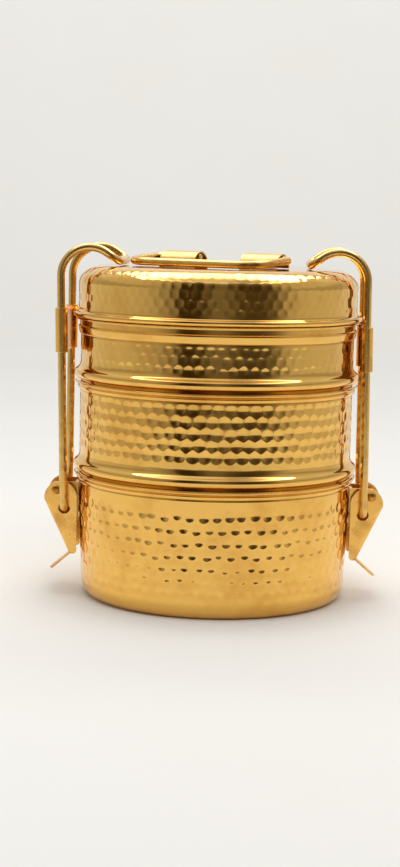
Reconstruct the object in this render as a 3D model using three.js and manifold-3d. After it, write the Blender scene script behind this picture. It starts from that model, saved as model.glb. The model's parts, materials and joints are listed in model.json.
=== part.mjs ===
// Three-tier brass tiffin carrier: three nesting containers and a lid, held
// together by an over-centre clip on each side, with a wire bail on the lid.
// Millimetres, +Z up. The origin is the centre of the flat base. The clips are
// on the X axis, and the side seen first is -Y.

import * as THREE from 'three';
import { mergeVertices } from 'three/addons/utils/BufferGeometryUtils.js';
import Module from 'manifold-3d';

const wasm = await Module();
wasm.setup();

// Overall sizes
const bodyRadius = 69.5; // outside of the container walls at the mouth
const bottomHeight = 63.4; // base to the rim of the bottom container
const middleHeight = 46.6; // rim to rim
const topHeight = 32; // rim to rim
const lidHeight = 26.2; // top container's rim to the top of the lid

// Sheet of the containers and the lid
const wall = 1;
const baseTaper = 1.7; // how much smaller the bottom container is at its base
const baseCornerHeight = 8;
const baseCornerWidth = 5.5;
const footCorner = 3;
const lidCorner = 13; // width of the lid's rounded shoulder
const lidShoulder = 9; // height of the shoulder
const lidStandOut = 1.3; // lid wall outside the container walls

// Nesting joint between two tiers
const nestDepth = 6; // foot or spigot inside the mouth below
const nestClearance = 0.4; // radial
const seatGap = 0.3; // between a seat and the lip under it

// Bead swaged round each tier just over its seat, and the lid's rolled edge
const beadHeight = 6.6;
const beadProud = 2.9;
const lidBeadHeight = 2.8;
const lidBeadProud = 2.6;

// Lip turned out round each mouth, with a neck and a ridge below it
const lipThickness = 0.95;
const lipProud = 2.5;
const neckProud = 0.5;
const neckHeight = 1;
const ridgeHeight = 2.2;
const ridgeProud = 1.2;
const topNeckHeight = 3;
const topRidgeHeight = 4.4;

// Clip wire
const rodRadius = 2;
const rodClearance = 1.7; // between the rods and the beads
const rodSpacing = 34; // between the two rods of one clip
const rodElbow = 3;
const archRadius = 14.5;
const archOverTurn = THREE.MathUtils.degToRad(35); // past the top of the arch
const tipStraight = 1.9;
const tipCorner = 5;
const tipGap = 0.35; // between the wire's tip and the lid

// How far each rod leans out from upright by the top of its arch
const leftLean = { front: 2.7, back: -0.3 };
const rightLean = { front: -1.7, back: -1 };

// Crimped keeper round the two rods
const keeperHeight = 22.2;
const keeperSheet = 0.8;
const keeperRodGap = 0.3;
const keeperWeb = 1.9; // two thicknesses pinched between the rods
const leftKeeperDrop = 21.6; // from the top of the lid to the top of the keeper
const rightKeeperDrop = 28;

// Lever
const leverSheet = 1;
const leverWidth = 25;
const leverWallGap = 0.2; // inboard edge outside the container's wall
const pivotDrop = 9.6; // pivot below the bottom container's rim
const pivotOut = 4.2; // pivot outboard of the rods
const footDrop = 8.7; // wire's foot below the pivot
const cheekInset = 2.3; // centre of the cheek's round top, inboard of the pivot
const cheekDrop = 4; // and below it
const leverReach = 33; // pivot to the lever's lower end
const leverToe = 3.5; // width of the cheek at its lower end
const tabLength = 14.5;
const tabWidth = 7;
const tabCorner = 3;
const tabAngle = THREE.MathUtils.degToRad(41); // below level

// Pivot rivet
const pivotRadius = 1.5;
const pivotClearance = 0.35;
const pivotHeadRadius = 2.4;
const pivotHeadHeight = 1.1;
const footHoleRadius = 3;
const footHoleGap = 0.3; // over the wire, which pulls up on the hole when the clip is shut
const footInside = 0.8; // how far the wire's feet show inside the cheeks

// Bracket on the bottom container
const bracketSheet = 1.3;
const earClearance = 1.7; // between an ear and the end of the wire's foot
const bracketHeight = 19;
const bracketTopDrop = 6.6; // top edge below the rim
const bracketEarRadius = 3.7;
const bracketEarFoot = 15.2; // where the ear's slope meets the plate, below the bracket's top edge
const bracketGap = 0.3;
const studRadius = 1.5;
const studClearance = 0.3;
const studHeadRadius = 3;
const studHeadHeight = 1;
const studPitch = 10.4;
const studDrop = 4.2; // upper stud below the bracket's top edge

// Bail and its two saddles
const bailTurn = THREE.MathUtils.degToRad(-30); // about +Z
const bailRodRadius = 2;
const bailTipClearance = 1.7; // between the bail and the left clip's tip
const bailDepth = 33;
const bailEndBend = 3.5;
const bailFrontBend = 12;
const bailLidGap = 0.3;
const hingeBack = 6; // hinge line behind the lid's centre
const hingeShift = -1;
const saddleSheet = 0.8;
const saddleRadius = 7.2;
const saddleLength = 21;
const saddleGap = 0.3;
const saddleRodGap = 0.3;
const saddleBendGap = 0.5; // saddle's outer end to the start of the bail's bend

const cutterReach = 12; // a drill's length, longer than any sheet it goes through

const aroundSegments = 40;
const rodSides = 8;

// Levels and lines worked out from the sizes
const rimOne = bottomHeight;
const rimTwo = rimOne + middleHeight;
const rimThree = rimTwo + topHeight;
const lidTop = rimThree + lidHeight;
const mouthRadius = bodyRadius - wall;
const footRadius = mouthRadius - nestClearance;
const lidRadius = bodyRadius + lidStandOut;
const rodLine = bodyRadius + beadProud + rodRadius + rodClearance;
const pivot = new THREE.Vector2(rodLine + pivotOut, rimOne - pivotDrop);
const foot = new THREE.Vector2(rodLine, pivot.y - footDrop);
const footHole = new THREE.Vector2(foot.x, foot.y + rodRadius + footHoleGap - footHoleRadius);
const taperEnd = rimOne * 0.8; // level where the bottom container's taper ends
const footEnd = leverWidth / 2 - leverSheet - footInside;
const bracketWidth = 2 * (footEnd - earClearance);
const tipLevel = lidTop + tipGap + rodRadius;
const tipDrop = archRadius * (1 - Math.cos(archOverTurn))
  + (tipStraight + tipCorner) * Math.sin(archOverTurn);
const archLevel = tipLevel + tipDrop - archRadius;
const tipLine = rodLine - archRadius * (1 + Math.sin(archOverTurn))
  - (tipStraight + tipCorner) * Math.cos(archOverTurn);
const handleCentre = new THREE.Vector2(hingeShift, hingeBack).rotateAround(new THREE.Vector2(), bailTurn);
const bailReach = tipLine + (leftLean.front + leftLean.back) / 2 - rodRadius - bailTipClearance
  - bailRodRadius - bailFrontBend + handleCentre.x; // left of the hinge line's centre
const bailHalfLength = bailFrontBend
  + (bailReach + (bailDepth - bailFrontBend) * Math.sin(bailTurn)) / Math.cos(bailTurn);

const brass = (color, roughness) => new THREE.MeshStandardMaterial({ color, roughness, metalness: 1 });
const hammeredBrass = brass(0xd9b25c, 0.2);
const wireBrass = brass(0xc2913a, 0.3);
const sheetBrass = brass(0xcf9d45, 0.35);
const rivetBrass = brass(0xb98a3c, 0.4);

// Merge shared vertices and drop the slivers that a lathe leaves on its axis.
function closed(geometry) {
  const bare = geometry.clone();
  bare.deleteAttribute('normal');
  bare.deleteAttribute('uv');
  const merged = mergeVertices(bare, 1e-4);
  const index = [];
  for (let i = 0; i < merged.index.count; i += 3) {
    const [a, b, c] = [0, 1, 2].map((k) => merged.index.getX(i + k));
    if (a !== b && b !== c && c !== a) index.push(a, b, c);
  }
  merged.setIndex(index);
  return facingOut(merged);
}

// Turn every face over where the solid's signed volume is negative.
function facingOut(geometry) {
  const at = (i) => new THREE.Vector3().fromBufferAttribute(geometry.attributes.position, i);
  const index = Array.from(geometry.index.array);
  let volume = 0;
  for (let i = 0; i < index.length; i += 3) {
    volume += at(index[i]).dot(at(index[i + 1]).cross(at(index[i + 2])));
  }
  geometry.setIndex(volume < 0 ? index.reverse() : index);
  return geometry;
}

function toSolid(geometry) {
  const { attributes, index } = closed(geometry);
  const vertProperties = new Float32Array(attributes.position.array);
  const triVerts = new Uint32Array(index.array);
  return new wasm.Manifold(new wasm.Mesh({ numProp: 3, vertProperties, triVerts }));
}

function toGeometry(solid) {
  const { vertProperties, triVerts } = solid.getMesh();
  const geometry = new THREE.BufferGeometry();
  geometry.setAttribute('position', new THREE.BufferAttribute(vertProperties, 3));
  geometry.setIndex(new THREE.BufferAttribute(triVerts, 1));
  return geometry;
}

function piece(name, geometry, material) {
  const mesh = new THREE.Mesh(geometry, material);
  mesh.name = name;
  return mesh;
}

// Points of an arc about a centre, from one angle to another, ends included.
function arc(centreX, centreY, radiusX, radiusY, from, to, steps) {
  return Array.from({ length: steps + 1 }, (_, i) => {
    const angle = THREE.MathUtils.degToRad(from + ((to - from) * i) / steps);
    return new THREE.Vector2(centreX + radiusX * Math.cos(angle), centreY + radiusY * Math.sin(angle));
  });
}

const point = (x, y) => new THREE.Vector2(x, y);

function turned(profile, segments = aroundSegments) {
  return closed(new THREE.LatheGeometry(profile, segments).rotateX(Math.PI / 2));
}

// A round bar through listed points, one section at each.
class BarPath extends THREE.Curve {
  constructor(points) {
    super();
    this.points = points;
  }

  indexAt(u) {
    return Math.round(u * (this.points.length - 1));
  }

  getPointAt(u, target = new THREE.Vector3()) {
    return target.copy(this.points[this.indexAt(u)]);
  }

  getTangentAt(u, target = new THREE.Vector3()) {
    const i = this.indexAt(u);
    const before = this.points[Math.max(i - 1, 0)];
    const after = this.points[Math.min(i + 1, this.points.length - 1)];
    return target.subVectors(after, before).normalize();
  }
}

function bar(points, radius) {
  const section = new THREE.Shape(arc(0, 0, radius, radius, 0, 360 - 360 / rodSides, rodSides - 1));
  const options = { steps: points.length - 1, bevelEnabled: false, extrudePath: new BarPath(points) };
  return closed(new THREE.ExtrudeGeometry(section, options));
}

// A flat outline in the X-Z plane, made solid across Y between two levels.
function acrossY(shape, fromY, toY) {
  const options = { depth: toY - fromY, bevelEnabled: false, curveSegments: 10 };
  return new THREE.ExtrudeGeometry(shape, options).rotateX(Math.PI / 2).translate(0, toY, 0);
}

function cylinderAcrossY(centre, radius, length, segments = 12) {
  return new THREE.CylinderGeometry(radius, radius, length, segments).translate(centre.x, 0, centre.y);
}

// Rim of a container, from the outside wall over the lip to the inside wall.
function rimProfile(rim, neck, ridge) {
  const lipUnder = rim - lipThickness;
  const neckUnder = lipUnder - neck;
  const ridgeUnder = neckUnder - ridge;
  const lipRadius = bodyRadius + lipProud;
  return [
    point(bodyRadius, ridgeUnder - ridgeProud / 2),
    point(bodyRadius + ridgeProud, ridgeUnder + ridge / 4),
    point(bodyRadius + ridgeProud, neckUnder - ridge / 4),
    point(bodyRadius + neckProud, neckUnder + neck / 4),
    point(bodyRadius + neckProud, lipUnder),
    point(lipRadius - lipThickness / 3, lipUnder),
    point(lipRadius, rim - lipThickness / 2),
    point(lipRadius - lipThickness / 3, rim),
    point(mouthRadius, rim),
  ];
}

// Container that nests in the mouth of the one below, whose rim is at `seat`.
function nestedProfile(seat, rim, neck, ridge) {
  const floor = seat - nestDepth;
  const seatLevel = seat + seatGap;
  const innerFoot = footRadius - wall;
  return [
    point(0, floor),
    ...arc(footRadius - footCorner, floor + footCorner, footCorner, footCorner, -90, 0, 3),
    point(footRadius, seatLevel),
    ...arc(bodyRadius, seatLevel + beadHeight / 2, beadProud, beadHeight / 2, -90, 90, 6),
    ...rimProfile(rim, neck, ridge),
    point(mouthRadius, seatLevel + wall * 2.5),
    point(innerFoot, seatLevel + wall),
    ...arc(innerFoot - footCorner, floor + wall + footCorner, footCorner, footCorner, 0, -90, 2),
    point(0, floor + wall),
  ];
}

function bottomProfile() {
  const baseRadius = bodyRadius - baseTaper;
  const inner = baseRadius - wall;
  const cornerCentre = baseRadius - baseCornerWidth;
  const innerWidth = baseCornerWidth - wall;
  const innerHeight = baseCornerHeight - wall;
  return [
    point(0, 0),
    ...arc(cornerCentre, baseCornerHeight, baseCornerWidth, baseCornerHeight, -90, 0, 5),
    point(bodyRadius, taperEnd),
    ...rimProfile(rimOne, neckHeight, ridgeHeight),
    point(mouthRadius, taperEnd),
    point(inner, baseCornerHeight),
    ...arc(cornerCentre, baseCornerHeight, innerWidth, innerHeight, 0, -90, 4).slice(1),
    point(0, wall),
  ];
}

function lidProfile() {
  const seatLevel = rimThree + seatGap;
  const spigotInner = footRadius - wall;
  const inner = lidRadius - wall;
  const cornerCentre = lidRadius - lidCorner;
  const shoulder = lidTop - lidShoulder;
  return [
    point(0, lidTop),
    ...arc(cornerCentre, shoulder, lidCorner, lidShoulder, 90, 0, 6),
    ...arc(lidRadius, seatLevel + lidBeadHeight / 2, lidBeadProud, lidBeadHeight / 2, 90, -90, 6),
    point(footRadius, seatLevel),
    point(footRadius, rimThree - nestDepth),
    point(spigotInner, rimThree - nestDepth),
    point(spigotInner, seatLevel + wall),
    point(inner, seatLevel + lidBeadHeight),
    ...arc(cornerCentre, shoulder, lidCorner - wall, lidShoulder - wall, 0, 90, 5),
    point(0, lidTop - wall),
  ];
}

const bracketTop = rimOne - bracketTopDrop;
const studLevels = [bracketTop - studDrop, bracketTop - studDrop - studPitch];
const wallRadiusAt = (level) => {
  const along = (level - baseCornerHeight) / (taperEnd - baseCornerHeight);
  return bodyRadius - baseTaper * (1 - THREE.MathUtils.clamp(along, 0, 1));
};

// Bottom container, with the holes for the brackets' studs through its wall.
function bottomGeometry() {
  const holes = studLevels.map((level) => {
    const through = new THREE.CylinderGeometry(studRadius + studClearance, studRadius + studClearance,
      4 * bodyRadius, 10);
    return toSolid(through.rotateZ(Math.PI / 2).translate(0, 0, level));
  });
  return toGeometry(holes.reduce((solid, hole) => solid.subtract(hole), toSolid(turned(bottomProfile()))));
}

// Bracket: a plate against the wall with two ears that carry the pivot.
function bracketGeometry() {
  const face = bodyRadius + bracketGap + bracketSheet;
  const half = bracketWidth / 2;
  const bottom = bracketTop - bracketHeight;
  const plate = new THREE.BoxGeometry(bracketSheet * 4, bracketWidth, bracketHeight)
    .translate(face - bracketSheet * 2, 0, (bracketTop + bottom) / 2);
  const ear = new THREE.Shape([
    point(face - bracketSheet, bracketTop - bracketEarFoot),
    ...arc(pivot.x, pivot.y, bracketEarRadius, bracketEarRadius, -60, 90, 7),
    point(face - bracketSheet, pivot.y + bracketEarRadius),
  ]);
  const ears = [-half, half - bracketSheet].map((from) => toSolid(acrossY(ear, from, from + bracketSheet)));
  const backRadius = bodyRadius + bracketGap;
  const clearOfWall = new THREE.CylinderGeometry(backRadius, backRadius, bracketHeight * 3, aroundSegments)
    .rotateX(Math.PI / 2).translate(0, 0, pivot.y);
  const studHole = studRadius + studClearance;
  const cuts = studLevels.map((level) => {
    const hole = new THREE.CylinderGeometry(studHole, studHole, cutterReach, 10);
    return hole.rotateZ(Math.PI / 2).translate(face, 0, level);
  });
  cuts.push(clearOfWall, cylinderAcrossY(pivot, pivotRadius + pivotClearance, bracketWidth * 2));
  const body = ears.reduce((solid, one) => solid.add(one), toSolid(plate));
  return toGeometry(cuts.reduce((solid, cut) => solid.subtract(toSolid(cut)), body));
}

// Stud riveted through the wall and the bracket's plate, lying along X.
function studGeometry(level) {
  const innerFace = wallRadiusAt(level) - wall - studClearance;
  const outerFace = bodyRadius + bracketGap + bracketSheet + studClearance;
  const profile = [
    point(0, innerFace - studHeadHeight),
    point(studHeadRadius, innerFace - studHeadHeight),
    point(studHeadRadius, innerFace - studHeadHeight / 3),
    point(studRadius, innerFace - studHeadHeight / 3),
    point(studRadius, outerFace),
    point(studHeadRadius, outerFace),
    ...arc(0, outerFace, studHeadRadius, studHeadHeight, 30, 90, 2),
  ];
  return closed(new THREE.LatheGeometry(profile, 12).rotateZ(-Math.PI / 2).translate(0, 0, level));
}

// Pivot rivet through both ears and both cheeks, lying along Y.
function pivotGeometry() {
  const under = leverWidth / 2 + bracketGap;
  const head = arc(0, under, pivotHeadRadius, pivotHeadHeight, 0, 90, 3);
  const mirrored = head.map(({ x, y }) => point(x, -y)).reverse();
  const profile = [...mirrored, point(pivotRadius, -under), point(pivotRadius, under), ...head];
  return closed(new THREE.LatheGeometry(profile, 12).translate(pivot.x, 0, pivot.y));
}

// Lever: a folded channel with two cheeks, its web on the outboard slope and a
// thumb tab bent out from the web's lower end.
function leverGeometry() {
  const inner = bodyRadius + leverWallGap;
  const topCentre = point(pivot.x - cheekInset, pivot.y - cheekDrop);
  const topRadius = topCentre.x - inner;
  const toeLevel = pivot.y - leverReach;
  const toe = point(inner + leverToe, toeLevel);
  const cheek = arc(topCentre.x, topCentre.y, topRadius, topRadius, -12, 180, 12);
  const corner = cheek[0];
  const slope = corner.clone().sub(toe).normalize();
  const inward = point(-slope.y, slope.x).multiplyScalar(leverSheet);
  const reach = topRadius * 3;
  const hollow = new THREE.Shape([
    toe.clone().addScaledVector(slope, -reach).add(inward),
    corner.clone().addScaledVector(slope, reach).add(inward),
    point(inner - reach, corner.y + reach),
    point(inner - reach, toeLevel - reach),
  ]);
  const outline = new THREE.Shape([toe, ...cheek, point(inner, toeLevel + leverToe / 3),
    point(inner + leverToe / 3, toeLevel)]);
  const half = leverWidth / 2;
  const tab = new THREE.Shape([
    point(-leverSheet, -tabWidth / 2),
    ...arc(tabLength - tabCorner, -tabWidth / 2 + tabCorner, tabCorner, tabCorner, -90, 0, 4),
    ...arc(tabLength - tabCorner, tabWidth / 2 - tabCorner, tabCorner, tabCorner, 0, 90, 4),
    point(-leverSheet, tabWidth / 2),
  ]);
  const tabGeometry = new THREE.ExtrudeGeometry(tab, { depth: leverSheet, bevelEnabled: false })
    .rotateY(tabAngle).translate(toe.x - leverSheet * 0.6, 0, toe.y + leverSheet * 0.1);
  const solid = toSolid(acrossY(outline, -half, half))
    .subtract(toSolid(acrossY(hollow, -half + leverSheet, half - leverSheet)))
    .add(toSolid(tabGeometry))
    .subtract(toSolid(cylinderAcrossY(pivot, pivotRadius + pivotClearance, leverWidth * 2)))
    .subtract(toSolid(cylinderAcrossY(footHole, footHoleRadius, leverWidth * 2)));
  return toGeometry(solid);
}

// Lean each rod of a clip out by its own amount, more the higher it is.
function leaned(geometry, lean) {
  const position = geometry.attributes.position;
  for (let i = 0; i < position.count; i += 1) {
    const across = THREE.MathUtils.clamp(position.getY(i) / rodSpacing + 0.5, 0, 1);
    const up = THREE.MathUtils.clamp((position.getZ(i) - foot.y) / (archLevel - foot.y), 0, 1);
    const shift = THREE.MathUtils.lerp(lean.minusY, lean.plusY, across) * up;
    position.setX(i, position.getX(i) + shift);
  }
  return geometry;
}

// Clip wire: both feet in the lever, up past the beads, over in an arch and
// down to a bar across the tip.
function clipPoints() {
  const side = -rodSpacing / 2;
  const points = [new THREE.Vector3(foot.x, -footEnd, foot.y)];
  for (const { x, y } of arc(side + rodElbow, foot.y + rodElbow, rodElbow, rodElbow, 270, 180, 4)) {
    points.push(new THREE.Vector3(foot.x, x, y));
  }
  const archTurn = 90 + THREE.MathUtils.radToDeg(archOverTurn);
  for (const { x, y } of arc(rodLine - archRadius, archLevel, archRadius, archRadius, 0, archTurn, 10)) {
    points.push(new THREE.Vector3(x, side, y));
  }
  const archEnd = points.at(-1);
  const down = new THREE.Vector3(-Math.cos(archOverTurn), 0, -Math.sin(archOverTurn));
  for (const { x, y } of arc(tipStraight, side + tipCorner, tipCorner, tipCorner, 270, 360, 4)) {
    points.push(archEnd.clone().addScaledVector(down, x).setY(y));
  }
  const mirrored = points.map((p) => new THREE.Vector3(p.x, -p.y, p.z)).reverse();
  return [...points, ...mirrored];
}

// Keeper: sheet wrapped round both rods and pinched together between them.
function keeperGeometry(topLevel) {
  const half = rodSpacing / 2;
  const hole = rodRadius + keeperRodGap;
  const outer = hole + keeperSheet;
  const pinch = THREE.MathUtils.radToDeg(Math.asin(keeperWeb / 2 / outer));
  const shape = new THREE.Shape([
    ...arc(0, half, outer, outer, -90 + pinch, 270 - pinch, 12),
    ...arc(0, -half, outer, outer, 90 + pinch, 450 - pinch, 12),
  ]);
  shape.holes = [half, -half].map((y) => new THREE.Path(arc(0, y, hole, hole, 0, 324, 9)));
  const options = { depth: keeperHeight, bevelEnabled: false };
  return closed(new THREE.ExtrudeGeometry(shape, options).translate(rodLine, 0, topLevel - keeperHeight));
}

// Everything on one side, built on +X; the left side is the same turned half round.
function clipSide(side, lean, keeperTop) {
  const group = new THREE.Group();
  group.rotation.z = side === 'left' ? Math.PI : 0;
  const local = side === 'left' ? { minusY: lean.back, plusY: lean.front }
    : { minusY: lean.front, plusY: lean.back };
  group.add(
    piece(`bracket_${side}`, bracketGeometry(), sheetBrass),
    piece(`bracket_stud_${side}_upper`, studGeometry(studLevels[0]), rivetBrass),
    piece(`bracket_stud_${side}_lower`, studGeometry(studLevels[1]), rivetBrass),
    piece(`pivot_rivet_${side}`, pivotGeometry(), rivetBrass),
    piece(`lever_${side}`, leverGeometry(), sheetBrass),
    piece(`clip_wire_${side}`, leaned(bar(clipPoints(), rodRadius), local), wireBrass),
    piece(`keeper_${side}`, leaned(keeperGeometry(keeperTop), local), sheetBrass),
  );
  return group;
}

// Bail: a C of rod whose two ends turn in along the hinge line. It lies on the
// lid, so its front bar is lower than the hinge line.
function bailGeometry(hingeLevel, endInside) {
  const frontLevel = bailLidGap + bailRodRadius;
  const slope = Math.asin((hingeLevel - frontLevel) / bailDepth);
  const frontCorner = point(bailHalfLength - bailFrontBend, bailFrontBend - bailDepth);
  const outline = [
    point(endInside, 0),
    ...arc(bailHalfLength - bailEndBend, -bailEndBend, bailEndBend, bailEndBend, 90, 0, 4),
    ...arc(frontCorner.x, frontCorner.y, bailFrontBend, bailFrontBend, 0, -90, 6),
  ];
  const right = outline.map(({ x, y }) => new THREE.Vector3(x, y, 0));
  const left = right.map((p) => new THREE.Vector3(-p.x, p.y, 0)).reverse();
  return bar([...right, ...left], bailRodRadius).rotateX(slope).translate(0, 0, hingeLevel);
}

function saddleGeometry(centre) {
  const inner = saddleRadius - saddleSheet;
  const arch = new THREE.Shape([...arc(0, 0, saddleRadius, saddleRadius, 0, 180, 12),
    ...arc(0, 0, inner, inner, 180, 0, 12)]);
  const geometry = new THREE.ExtrudeGeometry(arch, { depth: saddleLength, bevelEnabled: false });
  geometry.rotateX(Math.PI / 2).rotateZ(Math.PI / 2);
  return closed(geometry.translate(centre - saddleLength / 2, 0, saddleGap));
}

function handle() {
  const group = new THREE.Group();
  group.rotation.z = bailTurn;
  group.position.set(handleCentre.x, handleCentre.y, lidTop);
  const saddleOuterEnd = bailHalfLength - bailEndBend - saddleBendGap;
  const saddleCentre = saddleOuterEnd - saddleLength / 2;
  const hingeLevel = saddleGap + saddleRadius - saddleSheet - saddleRodGap - bailRodRadius;
  const endInside = saddleOuterEnd - saddleLength;
  group.add(
    piece('bail_handle', bailGeometry(hingeLevel, endInside), wireBrass),
    piece('saddle_left', saddleGeometry(-saddleCentre), sheetBrass),
    piece('saddle_right', saddleGeometry(saddleCentre), sheetBrass),
  );
  return group;
}

const middleProfile = nestedProfile(rimOne, rimTwo, neckHeight, ridgeHeight);
const topProfile = nestedProfile(rimTwo, rimThree, topNeckHeight, topRidgeHeight);

const tiffinCarrier = new THREE.Group();
tiffinCarrier.add(
  piece('bottom_container', bottomGeometry(), hammeredBrass),
  piece('middle_container', turned(middleProfile), hammeredBrass),
  piece('top_container', turned(topProfile), hammeredBrass),
  piece('lid', turned(lidProfile()), hammeredBrass),
  clipSide('left', leftLean, lidTop - leftKeeperDrop),
  clipSide('right', rightLean, lidTop - rightKeeperDrop),
  handle(),
);

export default tiffinCarrier;
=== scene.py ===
"""Looks of a three-tier hammered brass tiffin carrier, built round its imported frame.

Every size below is in millimetres unless its name says otherwise. Levels and centres come from the frame's
nodes, and a finished piece's mesh is scaled to metres as its last step.
"""

import json
import logging
import math
import random
from collections.abc import Sequence
from dataclasses import dataclass, field
from enum import Enum

import bmesh
import bpy
import numpy as np
from mathutils import Matrix, Vector


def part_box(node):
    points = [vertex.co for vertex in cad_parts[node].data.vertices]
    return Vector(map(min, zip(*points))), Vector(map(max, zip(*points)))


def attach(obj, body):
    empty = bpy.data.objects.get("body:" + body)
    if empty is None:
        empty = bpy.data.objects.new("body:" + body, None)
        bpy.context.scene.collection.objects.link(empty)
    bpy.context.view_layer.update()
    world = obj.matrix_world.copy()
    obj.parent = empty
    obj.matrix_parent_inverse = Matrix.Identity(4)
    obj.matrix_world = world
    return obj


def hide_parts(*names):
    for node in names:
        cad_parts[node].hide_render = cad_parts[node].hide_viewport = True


LOG = logging.getLogger("tiffin")
MM = 0.001
FULL_TURN = 2 * math.pi
ORIGIN = (0, 0, 0)
ALONG = Vector((1, 0, 0))
ACROSS = Vector((0, 1, 0))
UP = Vector((0, 0, 1))
WELD = 1e-4  # points closer than this are one
BODY_RADIUS = 69.5  # outside of the containers' walls
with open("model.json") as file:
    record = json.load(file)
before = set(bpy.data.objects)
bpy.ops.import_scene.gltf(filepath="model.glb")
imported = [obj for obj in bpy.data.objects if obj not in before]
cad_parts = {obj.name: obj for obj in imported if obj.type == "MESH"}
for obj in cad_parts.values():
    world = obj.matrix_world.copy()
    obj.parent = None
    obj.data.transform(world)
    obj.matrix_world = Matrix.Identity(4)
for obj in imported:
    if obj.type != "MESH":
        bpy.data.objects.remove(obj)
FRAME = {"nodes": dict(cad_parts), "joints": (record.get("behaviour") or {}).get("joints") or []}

Point = tuple[float, float]


class Side(Enum):
    """The two sides that carry a clip, by the direction of X that points out of the carrier."""

    LEFT = -1
    RIGHT = 1

    @property
    def word(self) -> str:
        """The side's word in the frame's node and body names."""
        return self.name.lower()


@dataclass(frozen=True)
class NodeBox:
    """Box of one node of the frame at rest."""

    low: Vector
    high: Vector

    @property
    def centre(self) -> Vector:
        """Middle of the box."""
        return (self.low + self.high) / 2


def node_box(node: str) -> NodeBox:
    """Looks up a node's box.

    Args:
        node: Name of a node of the frame.

    Returns:
        Its box in millimetres.
    """
    low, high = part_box(node)
    return NodeBox(low / MM, high / MM)


def joint_place(name: str) -> Vector:
    """Looks up where a hinge of the record has its axis.

    Args:
        name: Name of the joint.

    Returns:
        The axis's own point in millimetres.
    """
    joint = next(joint for joint in FRAME["joints"] if joint["name"] == name)
    return Vector(joint["pos_m"]) / MM


def linear(code: str) -> tuple[float, float, float, float]:
    """Turns an sRGB colour into the linear values that a shader takes.

    Args:
        code: Six hex digits.

    Returns:
        Red, green, blue and an alpha of one.
    """
    channels = [int(code[i : i + 2], 16) / 255 for i in (0, 2, 4)]
    red, green, blue = (c / 12.92 if c <= 0.04045 else ((c + 0.055) / 1.055) ** 2.4 for c in channels)
    return red, green, blue, 1.0


def add_node(
    tree: bpy.types.NodeTree, kind: str, settings: dict | None = None, **inputs: object,
) -> bpy.types.Node:
    """Adds one node to a tree.

    Args:
        tree: Where the node goes.
        kind: Blender's name of the node's type.
        settings: The node's own properties.
        inputs: Values or output sockets for its inputs, by name, with _ for a space, or by number as in n0.

    Returns:
        The new node.
    """
    node = tree.nodes.new(kind)
    for name, value in (settings or {}).items():
        setattr(node, name, value)
    for name, value in inputs.items():
        place = int(name[1:]) if name[1:].isdigit() else name.replace("_", " ")
        socket = node.inputs[place]
        if isinstance(value, bpy.types.NodeSocket):
            tree.links.new(value, socket)
        else:
            socket.default_value = value
    return node


# --------------------------------------------------------------------------------------------------
# Finishes


@dataclass(frozen=True)
class BrassFinish:
    """Yellow brass, with the polish, tarnish and scratches of one way of working it."""

    name: str
    bright: str
    dull: str
    roughness: tuple[float, float]
    tarnish_patch: float
    tarnish_share: tuple[float, float]
    scratch_spacing: float
    scratch_stretch: tuple[float, float, float]
    scratch_depth: float
    pit_spacing: float
    pit_depth: float

    def material(self) -> bpy.types.Material:
        """Builds the material.

        Returns:
            A metal whose colour, roughness and fine relief follow the finish.
        """
        made = bpy.data.materials.get(self.name)
        if made:
            return made
        made = bpy.data.materials.new(self.name)
        made.use_nodes = True
        tree = made.node_tree
        shader = tree.nodes["Principled BSDF"]
        shader.inputs["Metallic"].default_value = 1.0
        place = add_node(tree, "ShaderNodeTexCoord").outputs["Object"]
        patches = add_node(
            tree, "ShaderNodeTexNoise", Vector=place, Scale=1 / (self.tarnish_patch * MM), Detail=4.0,
            Roughness=0.62,
        )
        share = add_node(
            tree, "ShaderNodeMapRange", {"clamp": True}, Value=patches.outputs["Fac"],
            From_Min=self.tarnish_share[0], From_Max=self.tarnish_share[1],
        ).outputs["Result"]
        colour = add_node(
            tree, "ShaderNodeMix", {"data_type": "RGBA"}, n0=share, n6=linear(self.bright),
            n7=linear(self.dull),
        ).outputs[2]
        tree.links.new(colour, shader.inputs["Base Color"])
        roughness = add_node(
            tree, "ShaderNodeMapRange", {"clamp": True}, Value=share,
            To_Min=self.roughness[0], To_Max=self.roughness[1],
        ).outputs["Result"]
        tree.links.new(roughness, shader.inputs["Roughness"])
        stretched = add_node(
            tree, "ShaderNodeMapping", Vector=place, Scale=self.scratch_stretch,
        ).outputs["Vector"]
        scratches = add_node(
            tree, "ShaderNodeTexNoise", Vector=stretched, Scale=1 / (self.scratch_spacing * MM), Detail=3.0,
            Roughness=0.7,
        ).outputs["Fac"]
        pits = add_node(
            tree, "ShaderNodeTexNoise", Vector=place, Scale=1 / (self.pit_spacing * MM), Detail=2.0,
        ).outputs["Fac"]
        rubbed = add_node(
            tree, "ShaderNodeBump", Strength=1.0, Distance=self.scratch_depth * MM, Height=scratches,
        ).outputs["Normal"]
        relief = add_node(
            tree, "ShaderNodeBump", Strength=1.0, Distance=self.pit_depth * MM, Height=pits, Normal=rubbed,
        ).outputs["Normal"]
        tree.links.new(relief, shader.inputs["Normal"])
        return made


# Sheet brass beaten and buffed: a mirror with the faintest orange peel and a few hair scratches.
HAMMERED = BrassFinish(
    "buffed_hammered_brass", "F2C064", "DCA24C", (0.06, 0.13), 26.0, (0.48, 0.78), 1.6, (1, 1, 0.12), 0.002,
    5.5, 0.004,
)
# Drawn brass wire, bent and wiped: a soft shine with lengthwise drawing lines, so its highlights are spread.
DRAWN_WIRE = BrassFinish(
    "drawn_brass_wire", "EBC070", "C4954D", (0.22, 0.36), 12.0, (0.45, 0.75), 0.9, (1, 1, 0.08), 0.006,
    3.0, 0.010,
)
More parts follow.
